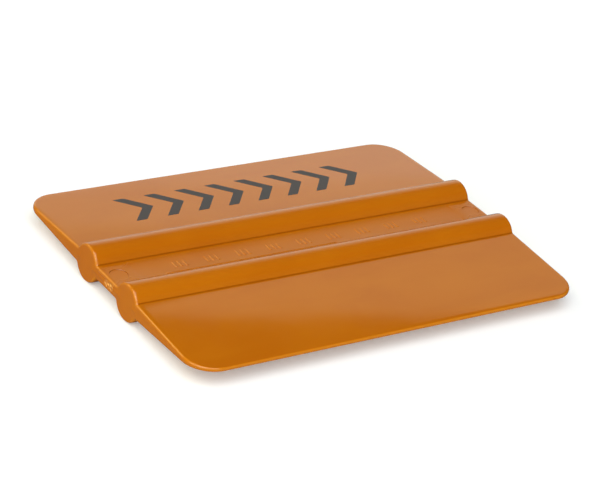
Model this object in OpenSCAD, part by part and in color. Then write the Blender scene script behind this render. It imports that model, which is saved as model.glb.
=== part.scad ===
// Hand squeegee for applying vinyl film: one flexible moulding with two tapered blades,
// two round finger ribs that stand out of both faces, and a web between the ribs.
// A row of printed chevrons marks the upper face of the rear blade.
//
// X runs along the ribs and Y from the front working edge to the rear one. The moulding lies
// on its ribs, so the origin is under its centre, on the surface that it rests on.

/* [Body] */
// Length along the finger ribs
body_l = 100; // [80:1:150]
// Width from one working edge to the other
body_w = 75; // [64:1:100]
// Radius of the four corners, seen from above
corner_r = 6.5; // [3:0.5:10]

/* [Blades] */
// Thickness of the rounded working edges
edge_t = 0.9; // [0.6:0.1:1.4]
// Thickness that the taper would reach at the middle of a rib
root_t = 4; // [3.2:0.1:5]

/* [Ribs and web] */
// Diameter of a finger rib, which is the height of the whole moulding
rib_d = 8.6; // [7.6:0.1:10]
// Distance between the middles of the two ribs
rib_pitch = 17; // [16:0.5:22]
// Thickness of the web between the ribs
web_t = 3; // [2.4:0.1:3.6]
// Radius of the fillets along the foot of each rib
fillet_r = 0.5; // [0.2:0.1:0.8]

/* [Moulding details] */
// Distance from each end of the body to the shallow panel in the upper channel
panel_end_gap = 7; // [6:0.5:15]
// Distance from the panel's long sides to the feet of the ribs
panel_side_gap = 0.5; // [0.3:0.1:1]
// Depth of the panel, and of the round marks that the ejector pins leave
mark_depth = 0.12; // [0.05:0.01:0.2]
// Diameter of an ejector pin mark
pin_d = 4; // [2:0.5:5]
// Distance from an end of the body to the middle of a pin mark
pin_inset = 3; // [3:0.25:3.5]
// Number of groups of raised ticks on the panel
tick_groups = 9; // [1:1:9]
// Distance between two groups of ticks
group_pitch = 8; // [6:0.5:8]
// Width of the scar that the broken-off gate leaves on the left end
gate_w = 3.4; // [2:0.1:5]
// Height of the gate scar
gate_h = 1.6; // [1:0.1:2]
// Depth of the gate scar
gate_depth = 0.25; // [0.1:0.05:0.4]

/* [Print] */
// Number of chevrons in the printed row
chevron_count = 8; // [1:1:8]
// Distance from one chevron to the next
chevron_pitch = 8; // [7.5:0.1:8.5]
// Height of a chevron, measured up the blade
chevron_h = 10.8; // [6:0.1:11]
// Width of a chevron's strokes, measured along the row
chevron_stroke = 2.8; // [1:0.1:3]
// Distance that a chevron's point stands forward of its ends
chevron_point = 4.6; // [2:0.1:4.8]
// Thickness of the ink film
ink_t = 0.05; // [0.03:0.01:0.1]

/* [Hidden] */
$fn = 96;

plastic = [0.76, 0.42, 0.08];
ink = [0.25, 0.24, 0.25];

rib_r = rib_d / 2;
rib_y = rib_pitch / 2;
mid_z = rib_r;
edge_r = edge_t / 2;

// How far a fillet's arc runs into the surfaces that it joins, so that it meets them cleanly
bite = 0.003;

// From a rib's middle to the middle of the edge's round, and the slope of the faces between
root_to_edge = body_w / 2 - edge_r - rib_y;
taper = atan((root_t / 2 - edge_r) / root_to_edge);

// Distance of each surface from a rib's middle, square to that surface
web_half = web_t / 2;
blade_half = root_t / 2 * cos(taper);

// Half the width of the channel's flat floor, out to the feet of the fillets
floor_half = rib_y - sqrt(pow(rib_r + fillet_r, 2) - pow(web_half + fillet_r, 2));
panel_size = [body_l - 2 * panel_end_gap, 2 * (floor_half - panel_side_gap)];

// Raised ticks and the raised line beside them, on the panel's floor
tick_size = [0.5, 2.2];
tick_step = 1.3;
ticks_in_group = 3;
line_size = [44, 0.4];
line_pos = [-15, -2.6];

// Middle of the gate scar on the left end, in front of the centre line
gate_y = -1.2;

// Middle of the printed row, about halfway up the blade's face
print_y = 24.6;

// Width of one chevron, along the row
chevron_w = chevron_point + chevron_stroke;

// The fillet beside a rib that is centred on the origin, in the corner above the level surface
// at height h. Its arc is sunk into the rib and into the surface by `bite`.
module rib_fillet(h) {
    reach = rib_r + fillet_r - bite;
    centre_h = h + fillet_r - bite;
    centre = [sqrt(pow(reach, 2) - pow(centre_h, 2)), centre_h];
    inner = centre * (rib_r - 1) / reach;
    difference() {
        polygon([inner, [inner[0], h - 1], [centre[0], h - 1], centre]);
        translate(centre) circle(fillet_r);
    }
}

// Two fillets of one rib, above and below a plate that leaves it along +X.
module fillet_pair(h) {
    rib_fillet(h);
    mirror([0, 1]) rib_fillet(h);
}

// The tapered blade, from the rib's middle to its fully rounded edge.
module blade_section() {
    root = root_t / 2;
    polygon([[0, -root], [root_to_edge, -edge_r], [root_to_edge, edge_r], [0, root]]);
    translate([root_to_edge, 0]) circle(edge_r);
}

// Everything on one side of the centre line: half the web, a rib and a blade.
module half_section() {
    translate([rib_y, 0]) {
        circle(rib_r);
        blade_section();
        rotate(-taper) rib_fillet(blade_half);
        mirror([0, 1]) rotate(-taper) rib_fillet(blade_half);
        mirror([1, 0]) fillet_pair(web_half);
    }
    translate([0, -web_half]) square([rib_y, web_t]);
}

module body_section() {
    half_section();
    mirror([1, 0]) half_section();
}

module plan_outline() {
    straight = [body_l / 2 - corner_r, body_w / 2 - corner_r];
    square([body_l, 2 * straight[1]], center = true);
    square([2 * straight[0], body_w], center = true);
    for (x = [-1, 1], y = [-1, 1])
        translate([x * straight[0], y * straight[1]]) circle(corner_r);
}

// A shape cut into the upper side of the web, to the depth of the mould marks.
module web_recess() {
    translate([0, 0, web_half - mark_depth]) linear_extrude(rib_r) children();
}

module pin_marks() {
    for (x = [-1, 1])
        translate([x * (body_l / 2 - pin_inset), 0]) circle(d = pin_d);
}

// Groups of plain ticks in a row, and one thin line beside them.
module panel_marks() {
    for (i = [0 : tick_groups - 1], j = [0 : ticks_in_group - 1])
        translate([(i - (tick_groups - 1) / 2) * group_pitch + (j - 1) * tick_step, 0])
            square(tick_size, center = true);
    translate(line_pos) square(line_size, center = true);
}

module gate_scar() {
    translate([-body_l / 2, gate_y, 0]) cube([2 * gate_depth, gate_w, gate_h], center = true);
}

module squeegee_body() {
    color(plastic)
    translate([0, 0, mid_z]) {
        difference() {
            intersection() {
                rotate([90, 0, 90]) translate([0, 0, -body_l / 2]) linear_extrude(body_l) body_section();
                translate([0, 0, -rib_r - 1]) linear_extrude(rib_d + 2) plan_outline();
            }
            web_recess() difference() {
                square(panel_size, center = true);
                panel_marks();
            }
            web_recess() pin_marks();
            gate_scar();
        }
    }
}

// One chevron that points along +X, centred on the origin.
module chevron() {
    translate([-chevron_w / 2, 0])
        polygon([
            [0, -chevron_h / 2],
            [chevron_stroke, -chevron_h / 2],
            [chevron_w, 0],
            [chevron_stroke, chevron_h / 2],
            [0, chevron_h / 2],
            [chevron_point, 0]
        ]);
}

module printed_chevrons() {
    color(ink)
    translate([0, rib_y, mid_z]) rotate([-taper, 0, 0])
        translate([0, (print_y - rib_y) / cos(taper), blade_half])
            for (i = [0 : chevron_count - 1])
                translate([(i - (chevron_count - 1) / 2) * chevron_pitch, 0, 0])
                    linear_extrude(ink_t) chevron();
}

squeegee_body();
printed_chevrons();
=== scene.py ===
"""Looks of the squeegee applicator: a detailed moulding, its print, and a plain studio.

The moulding is one closed mesh. Its upper and lower faces share one grid of points over a
rounded rectangle, raised to the height of the cross-section. A rounded wall joins their rims,
and the marks in the channel and the gate scar are fitted into flat openings left in the grid.
X runs along the ribs, Y from the front working edge to the rear one, and lengths are in metres.
"""
from math import atan, atan2, cos, hypot, pi, radians, sin, sqrt

import bpy
from mathutils import Matrix, Vector, noise
from mathutils.geometry import delaunay_2d_cdt


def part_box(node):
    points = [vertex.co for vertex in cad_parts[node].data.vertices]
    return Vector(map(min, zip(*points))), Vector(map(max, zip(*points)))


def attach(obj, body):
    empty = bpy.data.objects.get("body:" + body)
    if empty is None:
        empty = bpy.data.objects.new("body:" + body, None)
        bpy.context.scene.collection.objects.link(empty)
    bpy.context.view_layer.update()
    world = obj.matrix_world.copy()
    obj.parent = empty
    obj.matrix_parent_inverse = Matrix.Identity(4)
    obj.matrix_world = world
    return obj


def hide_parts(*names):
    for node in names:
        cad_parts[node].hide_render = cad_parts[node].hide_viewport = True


MM = 0.001

# Points that are closer than this are one point
SAME_POINT = 1e-5 * MM

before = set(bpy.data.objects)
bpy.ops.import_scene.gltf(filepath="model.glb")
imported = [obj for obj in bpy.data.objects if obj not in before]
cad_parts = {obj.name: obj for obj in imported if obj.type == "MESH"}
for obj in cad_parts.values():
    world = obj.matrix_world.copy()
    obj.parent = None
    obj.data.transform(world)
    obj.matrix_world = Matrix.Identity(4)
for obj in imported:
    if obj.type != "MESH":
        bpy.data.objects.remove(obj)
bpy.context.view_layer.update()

# ---------------------------------------------------------------- sizes

BODY_LOW, BODY_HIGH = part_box("squeegee_body")
HALF_L = (BODY_HIGH.x - BODY_LOW.x) / 2
HALF_W = (BODY_HIGH.y - BODY_LOW.y) / 2

RIB_R = 4.3 * MM
RIB_Y = 8.5 * MM
MID_Z = RIB_R
WEB_HALF = 1.5 * MM
ROOT_HALF = 2.0 * MM
EDGE_R = 0.45 * MM
CORNER_R = 6.5 * MM
FILLET_R = 0.5 * MM
SLOPE = (ROOT_HALF - EDGE_R) / (HALF_W - EDGE_R - RIB_Y)
TAPER = atan(SLOPE)

# Rounding between the end faces and the rest, and along the working edges
END_ROUND = 0.55 * MM
EDGE_ROUND = 0.3 * MM

# Where the two halves of the mould meet, a fine ridge runs round the ends
SEAM_HALF = 0.06 * MM
SEAM_HEIGHT = 0.02 * MM

# Marks in the upper channel: a shallow panel with raised ticks and a line, and two pin marks.
# A draft is half of what a mark's wall leans over its depth.
MARK_DEPTH = 0.12 * MM
PIN_DRAFT = 0.04 * MM
TICK_DRAFT = 0.08 * MM
PANEL_DRAFT = 0.16 * MM
PANEL_HALF = (43.0 * MM, 3.64 * MM)
PANEL_CORNER = 0.6 * MM
TICK_HALF = (0.25 * MM, 1.1 * MM)
TICK_CORNER = 0.15 * MM
TICK_STEP = 1.3 * MM
GROUP_PITCH = 8.0 * MM
GROUPS = 9
LINE_AT = (-15.0 * MM, -2.6 * MM)
LINE_HALF = (22.0 * MM, 0.2 * MM)
PIN_R = 2.0 * MM
PIN_X = HALF_L - 3.0 * MM

# Scar of the broken-off gate, on the left end of the web. Its outline wanders by SCAR_RAGGED,
# and its wall starts at SCAR_RIM and reaches SCAR_FADE inwards, all as shares of its half size.
SCAR_Y = -1.2 * MM
SCAR_HALF = (1.7 * MM, 0.8 * MM)
SCAR_DEPTH = 0.25 * MM
SCAR_RAGGED = 0.1
SCAR_RIM = 1.06
SCAR_FADE = 0.22

# The torn lip that stands up in the scar: its middle and its reach in millimetres, and its height
LIP_AT = (-0.7, 0.55)
LIP_REACH = 0.42
LIP_HEIGHT = 0.22 * MM

# Points of the scar's broken floor, in millimetres: step along a row, step from row to row, and
# distance of the first row from the mould seam
SCAR_STEP = 0.13
SCAR_ROW_STEP = 0.11
SCAR_FIRST_ROW = 0.17

# Printed row of chevrons on the rear blade
PRINT_Y = 24.6 * MM
CHEVRONS = 8
CHEVRON_PITCH = 8.0 * MM
CHEVRON_H = 10.8 * MM
CHEVRON_STROKE = 2.8 * MM
CHEVRON_POINT = 4.6 * MM
INK_TOP = 0.03 * MM
INK_SUNK = 0.02 * MM
INK_CORNER = 0.22 * MM

# Number of steps that the grid and the curves are made in
STRAIGHT_LINES = 40
CORNER_LINES = 7
BLADE_LINES = 9
WEB_LINES = 8
RIB_STEPS = 34
FILLET_STEPS = 4
ROUND_STEPS = 5
PIN_QUARTER_STEPS = 10
SEAM_STEPS = 56
INK_CORNER_STEPS = 4


# ---------------------------------------------------------------- mesh tools

class Shell:
    """Points and faces of one mesh. thin says how much light comes through, by point, which is
    painted into the colour as a glow.
    """

    def __init__(self):
        self.points = []
        self.faces = []
        self.thin = {}

    def point(self, x, y, z):
        self.points.append((x, y, z))
        return len(self.points) - 1

    def strip(self, lower, upper):
        """Quads between two rows of points that run to the right, seen from outside."""
        self.faces += zip(lower, lower[1:], upper[1:], upper)

    def band(self, lower, upper):
        """A strip between two closed rows."""
        self.strip(lower + lower[:1], upper + upper[:1])

    def fill(self, axes, loops, place, extra=(), lines=()):
        """Triangles over a flat region. axes are the two coordinates that it spans, turning
        anticlockwise as seen from outside. loops are closed rows of points that are there
        already: the first runs round the region and the others round its holes. place(a, b)
        gives a new point's position, extra lists the new points, and lines the rows of new
        points that stay joined."""
        known = [i for loop in loops for i in loop]
        flat = [tuple(self.points[i][k] for k in axes) for i in known]
        edges = []
        for loop in loops:
            first = len(edges)
            edges += [(first + k, first + (k + 1) % len(loop)) for k in range(len(loop))]
        borders = [(flat[a], flat[b]) for a, b in edges]
        for row in lines:
            edges += [(len(flat) + k, len(flat) + k + 1) for k in range(len(row) - 1)]
            flat += row
        flat += extra
        verts, _, faces, origins, _, _ = delaunay_2d_cdt(
            [Vector(p) / MM for p in flat], edges, [], 0, SAME_POINT / MM)
        verts = [v * MM for v in verts]
        index = []
        for origin in origins:
            old = [o for o in origin if o < len(known)]
            index.append(known[old[0]] if old else None)
        for face in faces:
            a, b, c = (verts[k] for k in face)
            if not enclosed((a + b + c) / 3, borders):
                continue
            for k in face:
                if index[k] is None:
                    index[k] = self.point(*place(*verts[k]))
            turned = (b - a).cross(c - a) < 0
            self.faces.append(tuple(index[k] for k in (reversed(face) if turned else face)))

    def mesh(self, name):
        """The mesh, without points that no face uses."""
        used = sorted({i for face in self.faces for i in face})
        place = {i: k for k, i in enumerate(used)}
        data = bpy.data.meshes.new(name)
        data.from_pydata([self.points[i] for i in used], [],
                         [[place[i] for i in face] for face in self.faces])
        data.validate()
        if self.thin:
            add_values(data, "thin", [self.thin.get(i, 0) for i in used])
        return data


def add_values(data, name, values, domain="POINT"):
    """Stores a value for each point or face of a mesh, for its material to read."""
    data.attributes.new(name, "FLOAT", domain).data.foreach_set("value", values)


def enclosed(point, borders):
    """Says if a point is inside closed borders, by counting those that it sees to its right."""
    crossed = 0
    for (ax, ay), (bx, by) in borders:
        if (ay > point.y) != (by > point.y):
            crossed += point.x < ax + (point.y - ay) * (bx - ax) / (by - ay)
    return crossed % 2 == 1


def rounded_outline(centre, half, radius, steps=4, longest=2.2 * MM):
    """Points of a rounded rectangle, anticlockwise. Its straight sides are split evenly."""
    corners = []
    for quarter, (sx, sy) in enumerate([(1, 1), (-1, 1), (-1, -1), (1, -1)]):
        cx, cy = centre[0] + sx * (half[0] - radius), centre[1] + sy * (half[1] - radius)
        angles = [pi / 2 * (quarter + k / steps) for k in range(steps + 1)]
        corners += [(cx + radius * cos(a), cy + radius * sin(a)) for a in angles]
    outline = []
    for (ax, ay), (bx, by) in zip(corners, corners[1:] + corners[:1]):
        length = hypot(bx - ax, by - ay)
        parts = max(1, round(length / longest))
        if length > SAME_POINT:
            outline += [(ax + (bx - ax) * k / parts, ay + (by - ay) * k / parts)
                        for k in range(parts)]
    return outline


def finish_piece(name, data, node, sharp_above=radians(35)):
    """Makes the piece that stands for a CAD node, with smooth shading and crisp edges."""
    data.shade_smooth()
    faces_at = {}
    for face in data.polygons:
        for key in face.edge_keys:
            faces_at.setdefault(key, []).append(face.normal.copy())
    for edge in data.edges:
        near = faces_at.get(edge.key, [])
        if len(near) == 2 and near[0].angle(near[1], 0) > sharp_above:
            edge.use_edge_sharp = True
    piece = bpy.data.objects.new(name, data)
    bpy.context.scene.collection.objects.link(piece)
    weighted = piece.modifiers.new("weighted_normals", "WEIGHTED_NORMAL")
    weighted.keep_sharp = True
    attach(piece, "root")
    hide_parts(node)
    return piece


# ---------------------------------------------------------------- moulding

def blade_height(y):
    """Half the thickness of a blade."""
    return ROOT_HALF - (abs(y) - RIB_Y) * SLOPE


def arc(y, z, radius, start, end, steps):
    """Stations (y, z, normal y, normal z) along an arc, which is hollow if radius is negative."""
    side = 1 if radius > 0 else -1
    for k in range(steps + 1):
        a = start + (end - start) * k / steps
        yield y + abs(radius) * cos(a), z + abs(radius) * sin(a), side * cos(a), side * sin(a)


def rib_stations():
    """The rib with its two fillets, from the channel's floor to the blade."""
    reach = RIB_R + FILLET_R
    inner_h = WEB_HALF + FILLET_R
    inner_y = sqrt(reach**2 - inner_h**2)
    inner = atan2(inner_h, inner_y)
    outer_h = ROOT_HALF * cos(TAPER) + FILLET_R
    outer = atan2(outer_h, sqrt(reach**2 - outer_h**2)) - TAPER
    inside_fillet = arc(RIB_Y - inner_y, inner_h, -FILLET_R, -pi / 2, -inner, FILLET_STEPS)
    crest = [*list(arc(RIB_Y, 0, RIB_R, pi - inner, pi / 2, RIB_STEPS // 2))[:-1],
             *arc(RIB_Y, 0, RIB_R, pi / 2, outer, RIB_STEPS // 2)]
    outside_fillet = arc(RIB_Y + reach * cos(outer), reach * sin(outer), -FILLET_R,
                         pi + outer, pi * 1.5 - TAPER, FILLET_STEPS)
    return [*inside_fillet, *crest[1:], *list(outside_fillet)[1:]]


RIB = rib_stations()
CHANNEL_HALF = RIB[0][0]
BLADE_FOOT = RIB[-1][0]
CORNER_AT = (HALF_L - CORNER_R, HALF_W - CORNER_R)


def stations():
    """The section from the front rim to the rear one, as (y, share of the corner's depth, z,
    normal y, normal z). On a blade z is None, because it follows from the final y."""
    half = [(CHANNEL_HALF * 2 * k / WEB_LINES, 0, WEB_HALF, 0, 1) for k in range(WEB_LINES // 2)]
    half += [(y, 0, z, ny, nz) for y, z, ny, nz in RIB]
    width = CORNER_AT[1] - BLADE_FOOT
    tilt = (sin(TAPER), cos(TAPER))
    half += [(BLADE_FOOT + width * (k + 1) / BLADE_LINES, 0, None, *tilt)
             for k in range(BLADE_LINES)]
    half += [(CORNER_AT[1], (k + 1) / CORNER_LINES, None, *tilt) for k in range(CORNER_LINES)]
    return [(-y, -share, z, -ny, nz) for y, share, z, ny, nz in reversed(half[1:])] + half


def x_lines():
    """Grid lines across the ribs, as (x, share of the corner's depth)."""
    end = [(CORNER_AT[0], (k + 1) / CORNER_LINES) for k in range(CORNER_LINES)]
    middle = [(CORNER_AT[0] * (2 * k / STRAIGHT_LINES - 1), 0) for k in range(STRAIGHT_LINES + 1)]
    return [(-x, -share) for x, share in reversed(end)] + middle + end


def rounding(angle):
    """Radius between the faces and the wall. The angle is 0 at an end, pi / 2 at an edge."""
    return END_ROUND + (EDGE_ROUND - END_ROUND) * sin(angle) ** 2


def spread(line, station):
    """Where the corner's square of grid lines falls on the disc that rounds the corner."""
    u, v = line[1], station[1]
    return u * sqrt(1 - v * v / 2), v * sqrt(1 - u * u / 2)


def grid_point(line, station):
    """A point of the upper face's grid, up to the rim where the rounding starts."""
    a, b = spread(line, station)
    angle = atan2(abs(b), abs(a))
    radius = CORNER_R - rounding(angle) * (1 - sin(TAPER) * sin(angle))
    x, y = line[0] + radius * a, station[0] + radius * b
    return x, y, blade_height(y) if station[2] is None else station[2]


def rounded_point(line, station, share):
    """A point on the rounding outside the rim, 0 at the rim and 1 at the upright wall."""
    a, b = spread(line, station)
    out = Vector((a, b, 0)).normalized()
    normal = Vector((0, station[3], station[4]))
    turn = out.angle(normal)
    towards = (normal * sin((1 - share) * turn) + out * sin(share * turn)) / sin(turn)
    return Vector(grid_point(line, station)) + rounding(atan2(abs(b), abs(a))) * (towards - normal)


def painted_glow_share(line, station, share):
    """How much light comes through the rim, painted into its colour as a glow: all round a working
    edge, and on an end's arrises, where it is a painted highlight.
    """
    a, b = spread(line, station)
    edge = sin(atan2(abs(b), abs(a))) ** 2
    return edge * min(1, 0.4 + 3 * share) + (1 - edge) * sin(pi * share)


def add_faces(shell, lines, rows):
    """The upper and lower faces. The channel's upper floor is left open for its marks."""
    floor = [j for j, s in enumerate(rows) if abs(s[0]) <= CHANNEL_HALF]
    grid = {}
    for side in (1, -1):
        for j, station in enumerate(rows):
            for i, line in enumerate(lines):
                if side == 1 and floor[0] < j < floor[-1] and 0 < i < len(lines) - 1:
                    continue
                x, y, z = grid_point(line, station)
                grid[side, i, j] = shell.point(x, y, MID_Z + side * z)
        for j in range(len(rows) - 1):
            if side == 1 and floor[0] <= j < floor[-1]:
                continue
            pair = [[grid[side, i, k] for i in range(len(lines))] for k in (j, j + 1)]
            shell.strip(*pair[::side])
    return grid, floor


def add_wall(shell, lines, rows, grid, floor):
    """The rounded wall round the rim, with the mould seam. The left end of the web stays open
    for the gate scar, and the closed row of points round that opening is returned."""
    m, n = len(lines) - 1, len(rows) - 1
    rim = [(i, 0) for i in range(m)] + [(m, j) for j in range(n)]
    rim += [(i, n) for i in range(m, 0, -1)] + [(0, j) for j in range(n, 0, -1)]
    rings = []
    for side in (-1, 1):
        rounds = [[grid[side, i, j] for i, j in rim]]
        for k in range(ROUND_STEPS):
            share = (k + 1) / ROUND_STEPS
            ring = [rounded_point(lines[i], rows[j], share) for i, j in rim]
            rounds.append([shell.point(p.x, p.y, MID_Z + side * p.z) for p in ring])
            for (i, j), index in zip(rim, rounds[-1]):
                shell.thin[index] = painted_glow_share(lines[i], rows[j], share)
        rings += rounds[::-side]
        if side == -1:
            for height in (-1, 0, 1):
                ridge = []
                for i, j in rim:
                    p = rounded_point(lines[i], rows[j], 1)
                    out = Vector((*spread(lines[i], rows[j]), 0)).normalized()
                    p += out * (SEAM_HEIGHT * out.x**2 if height == 0 else 0)
                    ridge.append(shell.point(p.x, p.y, MID_Z + height * min(SEAM_HALF, p.z / 2)))
                    shell.thin[ridge[-1]] = painted_glow_share(lines[i], rows[j], 1)
                rings.append(ridge)
    web = [k for k, (i, j) in enumerate(rim) if i == 0 and floor[0] <= j <= floor[-1]]
    middle = rings[ROUND_STEPS:-ROUND_STEPS]
    for lower, upper in zip(rings, rings[1:]):
        is_wall = lower in middle and upper in middle
        low, high = lower + lower[:1], upper + upper[:1]
        if is_wall:
            shell.strip(low[:web[0] + 1], high[:web[0] + 1])
            shell.strip(low[web[-1]:], high[web[-1]:])
        else:
            shell.strip(low, high)
    right = [ring[web[-1]] for ring in middle[1:-1]]
    left = [ring[web[0]] for ring in middle[-2:0:-1]]
    return [middle[0][k] for k in web] + right + [middle[-1][k] for k in reversed(web)] + left


def scar_depth(y, z):
    """How deep the torn gate is at a point of the left end, and how much it is torn, 0 to 1.
    The scar is a rounded oblong with a ragged outline and a broken floor."""
    away = ((abs(y - SCAR_Y) / SCAR_HALF[0]) ** 3 + (abs(z) / SCAR_HALF[1]) ** 3) ** (1 / 3)
    at = Vector((y, z, 0)) / MM
    away += SCAR_RAGGED * noise.noise(at * 1.7 + Vector((3, 0, 5)))
    torn = min(1, max(0, (SCAR_RIM - away) / SCAR_FADE))
    broken = min(1, max(0, 0.55 + 0.6 * noise.fractal(at * 1.9, 0.8, 2.1, 4)))
    lip = max(0, 1 - hypot(at.x - LIP_AT[0], at.y - LIP_AT[1]) / LIP_REACH)
    return torn * (SCAR_DEPTH * broken - LIP_HEIGHT * lip), torn


def add_gate_scar(shell, opening):
    """The left end of the web, with the seam's ridge and the torn scar of the gate."""
    def place(z, y):
        depth, torn = scar_depth(y, z - MID_Z)
        ridge = SEAM_HEIGHT * max(0, 1 - abs(z - MID_Z) / SEAM_HALF) * (1 - torn)
        return -HALF_L + depth - ridge, y, z

    seam = [[(MID_Z + z, CHANNEL_HALF * (2 * k / SEAM_STEPS - 1)) for k in range(SEAM_STEPS + 1)]
            for z in (-SEAM_HALF, 0, SEAM_HALF)]
    # Rows of points below and above the seam carry the broken floor. Every other row is shifted
    # by half a step.
    across = [SCAR_Y + k * SCAR_STEP * MM for k in range(-15, 16)]
    up = [side * (SCAR_FIRST_ROW + SCAR_ROW_STEP * k) * MM for side in (-1, 1) for k in range(8)]
    extra = [(MID_Z + z, y + SCAR_STEP / 2 * MM * (row % 2))
             for row, z in enumerate(up) for y in across]
    shell.fill((2, 1), [opening], place, extra, seam)


def add_channel(shell, lines, grid, floor):
    """The channel's upper floor, with its panel, ticks, line and pin marks."""
    top, low = MID_Z + WEB_HALF, MID_Z + WEB_HALF - MARK_DEPTH
    m = len(lines) - 1
    edge = [grid[1, i, floor[0]] for i in range(m)] + [grid[1, m, j] for j in floor[:-1]]
    edge += [grid[1, i, floor[-1]] for i in range(m, 0, -1)]
    edge += [grid[1, 0, j] for j in reversed(floor[1:])]

    def rings(centre, half, radius, draft, raised=False, steps=4):
        """The upper and lower rows round one mark, joined by its wall."""
        rows = []
        for grow, z in ((-draft, top), (draft, low)):
            grow = grow if raised else -grow
            outline = rounded_outline(centre, [h + grow for h in half], radius + grow, steps)
            rows.append([shell.point(x, y, z) for x, y in outline])
        shell.band(*(rows[::-1] if raised else rows))
        return rows

    marks = [((TICK_STEP * j + GROUP_PITCH * (g - (GROUPS - 1) / 2), 0), TICK_HALF)
             for g in range(GROUPS) for j in (-1, 0, 1)]
    marks.append((LINE_AT, LINE_HALF))
    panel_rings = rings((0, 0), PANEL_HALF, PANEL_CORNER, PANEL_DRAFT)
    pin_rings = [rings((x, 0), (PIN_R, PIN_R), PIN_R, PIN_DRAFT, steps=PIN_QUARTER_STEPS)
                 for x in (-PIN_X, PIN_X)]
    raised_rings = [rings(*mark, TICK_CORNER, TICK_DRAFT, raised=True) for mark in marks]
    shell.fill((0, 1), [edge, panel_rings[0], *(r[0] for r in pin_rings)],
               lambda x, y: (x, y, top))
    shell.fill((0, 1), [panel_rings[1], *(r[1] for r in raised_rings)],
               lambda x, y: (x, y, low))
    for ring in [r[1] for r in pin_rings] + [r[0] for r in raised_rings]:
        shell.faces.append(tuple(ring))


def crease_shade_depths():
    """How deep each line along the foot of a rib lies in its fillet, 0 to 1, by its y in mm: how
    strongly painted shade darkens that line.
    """
    depths = {}
    for feet in (RIB[:FILLET_STEPS + 1], RIB[-FILLET_STEPS - 1:]):
        for k, station in enumerate(feet):
            depths[round(station[0] / MM, 4)] = sin(pi * k / FILLET_STEPS)
    return depths


def mark_surface(data):
    """Says where the plastic is torn and where it is matte, and where painted shade darkens
    it: in the fillets at the foot of a rib and on the sloping walls of a pin mark."""
    torn, matte, crease_shade, groove_shade = [], [], [], []
    depths = crease_shade_depths()
    for vertex in data.vertices:
        x, y, z = vertex.co
        at_scar = x < -HALF_L + 2 * SCAR_DEPTH and abs(z - MID_Z) < WEB_HALF - END_ROUND
        in_channel = abs(y) < CHANNEL_HALF and z > MID_Z + WEB_HALF / 2
        torn.append(scar_depth(y, z - MID_Z)[1] if at_scar else 0)
        matte.append(1 if in_channel or torn[-1] > 0 else 0)
        # Painted shade, strongest in the middle of each fillet at the foot of a rib
        crease_shade.append(depths.get(round(abs(y) / MM, 4), 0))
    for face in data.polygons:
        # Painted shade on the sloping walls of the pin marks
        in_pin_mark = hypot(abs(face.center.x) - PIN_X, face.center.y) < PIN_R + PIN_DRAFT
        slopes = 0.1 < face.normal.z < 0.9
        groove_shade.append(1 if in_pin_mark and slopes else 0)
    add_values(data, "torn", torn)
    add_values(data, "matte", matte)
    add_values(data, "crease_shade", crease_shade)
    add_values(data, "groove_shade", groove_shade, "FACE")


def moulding():
    """The whole moulding, as one closed mesh."""
    shell = Shell()
    lines, rows = x_lines(), stations()
    grid, floor = add_faces(shell, lines, rows)
    opening = add_wall(shell, lines, rows, grid, floor)
    add_gate_scar(shell, opening)
    add_channel(shell, lines, grid, floor)
    data = shell.mesh("squeegee_moulding")
    mark_surface(data)
    return finish_piece("squeegee_moulding", data, "squeegee_body")


# ---------------------------------------------------------------- print

def chevron_outline():
    """One chevron that points along +X, anticlockwise, with its corners slightly rounded."""
    width, half = CHEVRON_POINT + CHEVRON_STROKE, CHEVRON_H / 2
    sharp = [(0, -half), (CHEVRON_STROKE, -half), (width, 0), (CHEVRON_STROKE, half),
             (0, half), (CHEVRON_POINT, 0)]
    corners = [Vector((x - width / 2, y)) for x, y in sharp]
    outline = []
    for k, corner in enumerate(corners):
        before = (corners[k - 1] - corner).normalized()
        after = (corners[(k + 1) % len(corners)] - corner).normalized()
        for step in range(INK_CORNER_STEPS + 1):
            t = step / INK_CORNER_STEPS
            start, end = corner + before * INK_CORNER, corner + after * INK_CORNER
            outline.append(start * (1 - t) ** 2 + corner * 2 * t * (1 - t) + end * t**2)
    return outline


def shrunk(outline, distance):
    """The outline moved in by a small distance."""
    moved = []
    for k, p in enumerate(outline):
        along = (outline[(k + 1) % len(outline)] - outline[k - 1]).normalized()
        moved.append(p + Vector((-along.y, along.x)) * distance)
    return moved


def chevron_print():
    """The ink film: eight thin chevrons that are sunk a little into the rear blade."""
    shell = Shell()
    start = Vector((0, PRINT_Y, MID_Z + blade_height(PRINT_Y)))
    right = Vector((1, 0, 0))
    up = Vector((0, cos(TAPER), -sin(TAPER)))
    normal = Vector((0, sin(TAPER), cos(TAPER)))
    outline = chevron_outline()
    for k in range(CHEVRONS):
        middle = start + right * (k - (CHEVRONS - 1) / 2) * CHEVRON_PITCH
        # The film's underside, the top of its upright side, and its slightly smaller upper face
        rings = []
        for inset, height in ((0, -INK_SUNK), (0, INK_TOP * 0.5), (INK_TOP * 0.6, INK_TOP)):
            spots = [middle + right * p.x + up * p.y + normal * height
                     for p in shrunk(outline, inset)]
            rings.append([shell.point(*p) for p in spots])
        for lower, upper in zip(rings, rings[1:]):
            shell.band(lower, upper)
        shell.faces.append(tuple(rings[-1]))
        shell.faces.append(tuple(reversed(rings[0])))
    data = shell.mesh("chevron_print")
    return finish_piece("chevron_print", data, "printed_chevrons")


# ---------------------------------------------------------------- materials

# Numbers of the Mix node's sockets when it mixes colours
MIX_SHARE, MIX_FIRST, MIX_SECOND = 0, 6, 7
MIX_RESULT = 2


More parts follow.
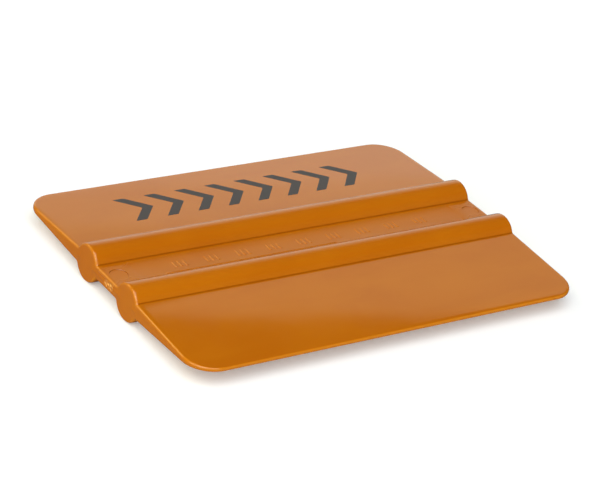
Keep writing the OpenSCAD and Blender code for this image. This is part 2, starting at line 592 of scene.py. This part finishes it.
class Nodes:
    """A material's node tree, with short calls for what it needs."""

    def __init__(self, name):
        self.material = bpy.data.materials.new(name)
        self.material.use_nodes = True
        self.tree = self.material.node_tree
        self.shader = self.tree.nodes["Principled BSDF"]

    def node(self, kind, *links, **settings):
        """A node with its settings. links are (input, value or the output that feeds it)."""
        made = self.tree.nodes.new("ShaderNode" + kind)
        for name, value in settings.items():
            setattr(made, name, value)
        for socket, value in links:
            self.feed(made.inputs[socket], value)
        return made

    def feed(self, socket, value):
        if isinstance(value, bpy.types.NodeSocket):
            self.tree.links.new(value, socket)
        else:
            socket.default_value = value

    def set(self, **values):
        for name, value in values.items():
            self.feed(self.shader.inputs[name.replace("_", " ")], value)

    def place(self, scale=(1, 1, 1)):
        """The position on the object in millimetres, stretched along its axes."""
        where = self.node("TexCoord").outputs["Object"]
        return self.node("VectorMath", (0, where), (1, tuple(1000 * s for s in scale)),
                         operation="MULTIPLY").outputs["Vector"]

    def noise(self, scale, detail=2, stretch=(1, 1, 1), roughness=0.5, distortion=0):
        made = self.node("TexNoise", ("Vector", self.place(stretch)), ("Scale", scale),
                         ("Detail", detail), ("Roughness", roughness),
                         ("Distortion", distortion))
        return made.outputs["Fac"]

    def ramp(self, value, start, end, low=0.0, high=1.0):
        """Takes value from start..end to low..high, and no further."""
        made = self.node("MapRange", ("Value", value), ("From Min", start), ("From Max", end),
                         ("To Min", low), ("To Max", high))
        return made.outputs["Result"]

    def math(self, operation, a, b):
        return self.node("Math", (0, a), (1, b), operation=operation).outputs[0]

    def mix(self, share, first, second):
        made = self.node("Mix", (MIX_SHARE, share), (MIX_FIRST, first), (MIX_SECOND, second),
                         data_type="RGBA")
        return made.outputs[MIX_RESULT]

    def bump(self, height, strength, distance, normal=None):
        made = self.node("Bump", ("Height", height), ("Strength", strength),
                         ("Distance", distance))
        if normal:
            self.feed(made.inputs["Normal"], normal)
        return made.outputs["Normal"]

    def value(self, name):
        """A value that add_values has stored in the mesh."""
        return self.node("Attribute", attribute_name=name).outputs["Fac"]

    def color(self, *channels):
        """A colour from values of its red, green and blue."""
        return self.node("CombineColor", *enumerate(channels)).outputs[0]


ORANGE = (0.41, 0.12, 0.0026, 1)
ORANGE_DEEP = (0.388, 0.107, 0.002, 1)
# Painted shade for the fillets at the ribs' feet and the pin marks' walls
ORANGE_PAINTED_SHADE = (0.25, 0.06, 0.0005, 1)
# Torn plastic is paler, and its lightest spots are painted highlights
ORANGE_TORN_AND_GLINT = (0.85, 0.46, 0.13, 1)
# Painted glow of light through thin rims, and painted highlight on the end arrises
ORANGE_PAINTED_GLOW = (0.455, 0.148, 0.006, 1)
INK = (0.025, 0.019, 0.029, 1)
INK_PALE = (0.033, 0.025, 0.035, 1)

# Roughness of the clean plastic, lowest and highest, and what scratches, the worn crests of the
# ribs and the matte channel and scar add to it. The wear grows from the first of two heights to
# the second, in millimetres.
GLOSS = (0.04, 0.06)
SCRATCHED = 0.03
WORN = 0.2
WORN_HEIGHTS = (7.8, 8.6)
MATTE = 0.26

# Height of the fine grain in the plastic and the ink, and of the plastic's slow waves
GRAIN_HEIGHT = 0.01 * MM
WAVE_HEIGHT = 0.2 * MM

# How far light scatters in the plastic: the distance, and its shares for red, green and blue
SCATTER = 0.9 * MM
SCATTER_SHARES = (1.0, 0.35, 0.08)

# The floor: the paper's tone, its tint, its own light near the object, and how bright the object
# mirrors it near by and far off. Distances from the object's middle are in millimetres.
PAPER_TONE = (0.7, 0.72)
PAPER_TINT = (0.92, 0.97, 1.14)
PAPER_GLOW = (0.26, 1)
GLOW_DISTANCES = (85, 450)
MIRRORED = (0.16, 0.8)
MIRRORED_DISTANCES = (70, 220)


def plastic():
    """Glossy orange plastic: faint flow marks, fine scratches, thin edges lightened by painted
    glow, creases darkened by painted shade, and a paler torn gate with painted highlight spots."""
    n = Nodes("orange_plastic")

    # Colour: flow marks, painted glow on thin rims, the paler torn scar with painted highlight
    # spots, and painted shade in the creases and grooves
    flow = n.noise(0.035, 3, (1, 2.2, 1), 0.55, 0.6)
    color = n.mix(n.ramp(flow, 0.38, 0.66), ORANGE, ORANGE_DEEP)
    # Painted glow on the rims where light comes through, and painted highlight on the end arrises
    color = n.mix(n.value("thin"), color, ORANGE_PAINTED_GLOW)
    # The torn scar is lighter in spots, partly its whitened plastic and partly painted highlight
    bruise_and_glint = n.ramp(n.noise(1.6, 3), 0.46, 0.6)
    color = n.mix(n.math("MULTIPLY", n.value("torn"), bruise_and_glint), color, ORANGE_TORN_AND_GLINT)
    # Painted shade darkens the rib fillets and the pin marks' walls
    color = n.mix(n.math("MAXIMUM", n.value("crease_shade"), n.value("groove_shade")), color, ORANGE_PAINTED_SHADE)

    # Roughness: an uneven skin, scratches along and across the ribs, worn crests, matte places
    rough = n.ramp(n.noise(0.22, 4, roughness=0.6), 0.3, 0.75, *GLOSS)
    along = n.ramp(n.noise(0.9, 2, (0.06, 1.6, 1), 0.6), 0.7, 0.8)
    across = n.ramp(n.noise(1.1, 2, (1.3, 0.07, 1), 0.6), 0.72, 0.82)
    rough = n.math("ADD", rough, n.math("MULTIPLY", n.math("MAXIMUM", along, across), SCRATCHED))
    height = n.node("SeparateXYZ", (0, n.place())).outputs["Z"]
    rough = n.math("ADD", rough, n.ramp(height, *WORN_HEIGHTS, 0, WORN))
    rough = n.math("ADD", rough, n.math("MULTIPLY", n.value("matte"), MATTE))

    skin = n.bump(n.noise(4.5, 3, roughness=0.6), 0.02, GRAIN_HEIGHT)
    wave = n.bump(n.noise(0.05, 1), 0.1, WAVE_HEIGHT, skin)
    n.set(Base_Color=color, Roughness=rough, Normal=wave, IOR=1.5,
          Subsurface_Weight=0.06, Subsurface_Radius=SCATTER_SHARES, Subsurface_Scale=SCATTER)
    return n.material


def ink():
    """Pad-printed ink: an even dark grey with a dry, very fine grain."""
    n = Nodes("grey_ink")
    grain = n.noise(9, 3, roughness=0.65)
    color = n.mix(n.ramp(grain, 0.35, 0.7), INK, INK_PALE)
    thin = n.ramp(n.noise(1.3, 4, roughness=0.7), 0.7, 0.78)
    color = n.mix(n.math("MULTIPLY", thin, 0.35), color, ORANGE_DEEP)
    n.set(Base_Color=color, Roughness=n.ramp(grain, 0.3, 0.7, 0.4, 0.52), IOR=1.48,
          Normal=n.bump(grain, 0.2, GRAIN_HEIGHT))
    return n.material


def paper():
    """The plain pale floor: paper lit a little from below. The object mirrors it only dimly,
    except far off."""
    n = Nodes("floor_paper")
    tone = n.ramp(n.noise(0.004, 2), 0.3, 0.7, *PAPER_TONE)
    away = n.node("VectorMath", (0, n.place()), operation="LENGTH").outputs["Value"]
    n.set(Base_Color=n.color(*(n.math("MULTIPLY", tone, share) for share in PAPER_TINT)),
          Roughness=0.9, Specular_IOR_Level=0.1, Emission_Color=(1, 1, 1, 1),
          Emission_Strength=n.ramp(away, *GLOW_DISTANCES, *PAPER_GLOW))
    mirrored = n.ramp(away, *MIRRORED_DISTANCES, *MIRRORED)
    dim = n.node("BsdfDiffuse", ("Color", n.color(mirrored, mirrored, mirrored)))
    mixed = n.node("MixShader", (0, n.node("LightPath").outputs["Is Glossy Ray"]),
                   (1, n.shader.outputs[0]), (2, dim.outputs[0]))
    n.feed(n.tree.nodes["Material Output"].inputs["Surface"], mixed.outputs[0])
    return n.material


# ---------------------------------------------------------------- studio

# The camera's bearing, rise and roll in degrees, its distance and how far it aims beside the
# object's middle in metres, and its lens in millimetres
CAMERA_AIM = Vector((0, 0, MID_Z))
CAMERA_TURN, CAMERA_RISE, CAMERA_ROLL = (radians(a) for a in (-38.467, 28.434, 10.287))
CAMERA_DISTANCE = 0.489565
CAMERA_OFFSET = (0.000619, 0.000772)
CAMERA_LENS = 133.02

# Soft lights: name, bearing from +Y towards +X and rise in degrees, distance and size in metres,
# brightness as the object sees it, and colour
PANELS = [
    ("key", -108, 36, 1.6, (1.5, 1.2), 2.8, (1, 0.95, 0.7)),
    ("fill", -155, 22, 1.5, (2.2, 1.0), 1.34, (1, 0.97, 0.75)),
    ("top", -150, 62, 1.6, (1.6, 1.6), 3.1, (1, 1, 0.9)),
    ("rear_left", -35, 33, 1.5, (0.7, 0.6), 4.2, (1, 0.85, 0.4)),
    ("right_fill", 143, 20, 1.6, (2.0, 1.1), 0.2, (1, 0.62, 0.15)),
    ("right_low", 143, 13, 1.5, (1.9, 0.65), 0.2, (1, 0.62, 0.15)),
]

# Upright bright cards behind the object: name, distance and height in metres, brightness, colour.
# The blades mirror them, and that reflection ends across the front blade.
CARDS = [
    ("back_card", 1.2, 0.958, 0.72, (1, 1, 0.7)),
    ("low_card", 1.1, 0.495, 0.19, (0.8, 1, 1.25)),
    ("lowest_card", 1.05, 0.442, 0.19, (0.8, 1, 1.25)),
]
CARD_TURN = 15.5

# Brightness of the surround, and the floor's half size in metres and its steps
AMBIENT = 0.02
FLOOR_HALF = 3.0
FLOOR_STEPS = 12


def studio_camera():
    """Stands to the front left, well above the object, and a little tilted."""
    back = Vector((sin(CAMERA_TURN) * cos(CAMERA_RISE), -cos(CAMERA_TURN) * cos(CAMERA_RISE),
                   sin(CAMERA_RISE)))
    level = Vector((cos(CAMERA_TURN), sin(CAMERA_TURN), 0))
    upright = back.cross(level)
    right = level * cos(CAMERA_ROLL) + upright * sin(CAMERA_ROLL)
    up = upright * cos(CAMERA_ROLL) - level * sin(CAMERA_ROLL)
    data = bpy.data.cameras.new("camera")
    data.lens = CAMERA_LENS
    data.clip_start, data.clip_end = 0.01, 20
    camera = bpy.data.objects.new("camera", data)
    turn = Matrix((right, up, back)).transposed().to_4x4()
    place = CAMERA_AIM - right * CAMERA_OFFSET[0] - up * CAMERA_OFFSET[1]
    camera.matrix_world = Matrix.Translation(place + back * CAMERA_DISTANCE) @ turn
    bpy.context.scene.collection.objects.link(camera)
    bpy.context.scene.camera = camera


def panel_light(name, turn, rise, distance, size, glow, color, aim=(0, 0, 0)):
    """A soft rectangular light that faces aim."""
    turn, rise = radians(turn), radians(rise)
    back = Vector((sin(turn) * cos(rise), cos(turn) * cos(rise), sin(rise)))
    data = bpy.data.lights.new(name, "AREA")
    data.shape = "RECTANGLE"
    data.size, data.size_y = size
    data.energy = glow * pi * size[0] * size[1]
    data.color = color
    light = bpy.data.objects.new(name, data)
    light.location = Vector(aim) + back * distance
    light.rotation_mode = "QUATERNION"
    light.rotation_quaternion = back.to_track_quat("Z", "Y")
    bpy.context.scene.collection.objects.link(light)


def card(name, away, height, glow, color):
    """A card that stands on the floor. Its middle lies a third of its distance to the right,
    and its width is four thirds of its distance."""
    along = Vector((cos(radians(CARD_TURN)), -sin(radians(CARD_TURN)), 0))
    shift = along * away / 3 + Vector((0, 0, height / 2))
    panel_light(name, CARD_TURN, 0, away, (away * 4 / 3, height), glow, color, shift)


def lights():
    for settings in CARDS:
        card(*settings)
    for settings in PANELS:
        panel_light(*settings)


def surroundings():
    """A dim even surround. It looks pale only where the camera sees it directly."""
    world = bpy.data.worlds.new("surround")
    world.use_nodes = True
    tree = world.node_tree
    shader = tree.nodes["Background"]
    path = tree.nodes.new("ShaderNodeLightPath")
    mix = tree.nodes.new("ShaderNodeMix")
    mix.data_type = "RGBA"
    tree.links.new(path.outputs["Is Camera Ray"], mix.inputs[MIX_SHARE])
    mix.inputs[MIX_FIRST].default_value = (AMBIENT, AMBIENT, AMBIENT, 1)
    mix.inputs[MIX_SECOND].default_value = (1, 1, 1, 1)
    tree.links.new(mix.outputs[MIX_RESULT], shader.inputs["Color"])
    bpy.context.scene.world = world


def floor():
    """A large sheet of pale paper, gently split so that it is a proper surface."""
    shell = Shell()
    lines = [FLOOR_HALF * (2 * k / FLOOR_STEPS - 1) for k in range(FLOOR_STEPS + 1)]
    grid = [[shell.point(x, y, 0) for x in lines] for y in lines]
    for lower, upper in zip(grid, grid[1:]):
        shell.strip(lower, upper)
    sheet = bpy.data.objects.new("floor", shell.mesh("floor"))
    sheet.data.materials.append(paper())
    bpy.context.scene.collection.objects.link(sheet)


# ---------------------------------------------------------------- scene

bpy.context.scene.view_settings.view_transform = "Standard"
studio_camera()
moulding().data.materials.append(plastic())
chevron_print().data.materials.append(ink())
floor()
lights()
surroundings()
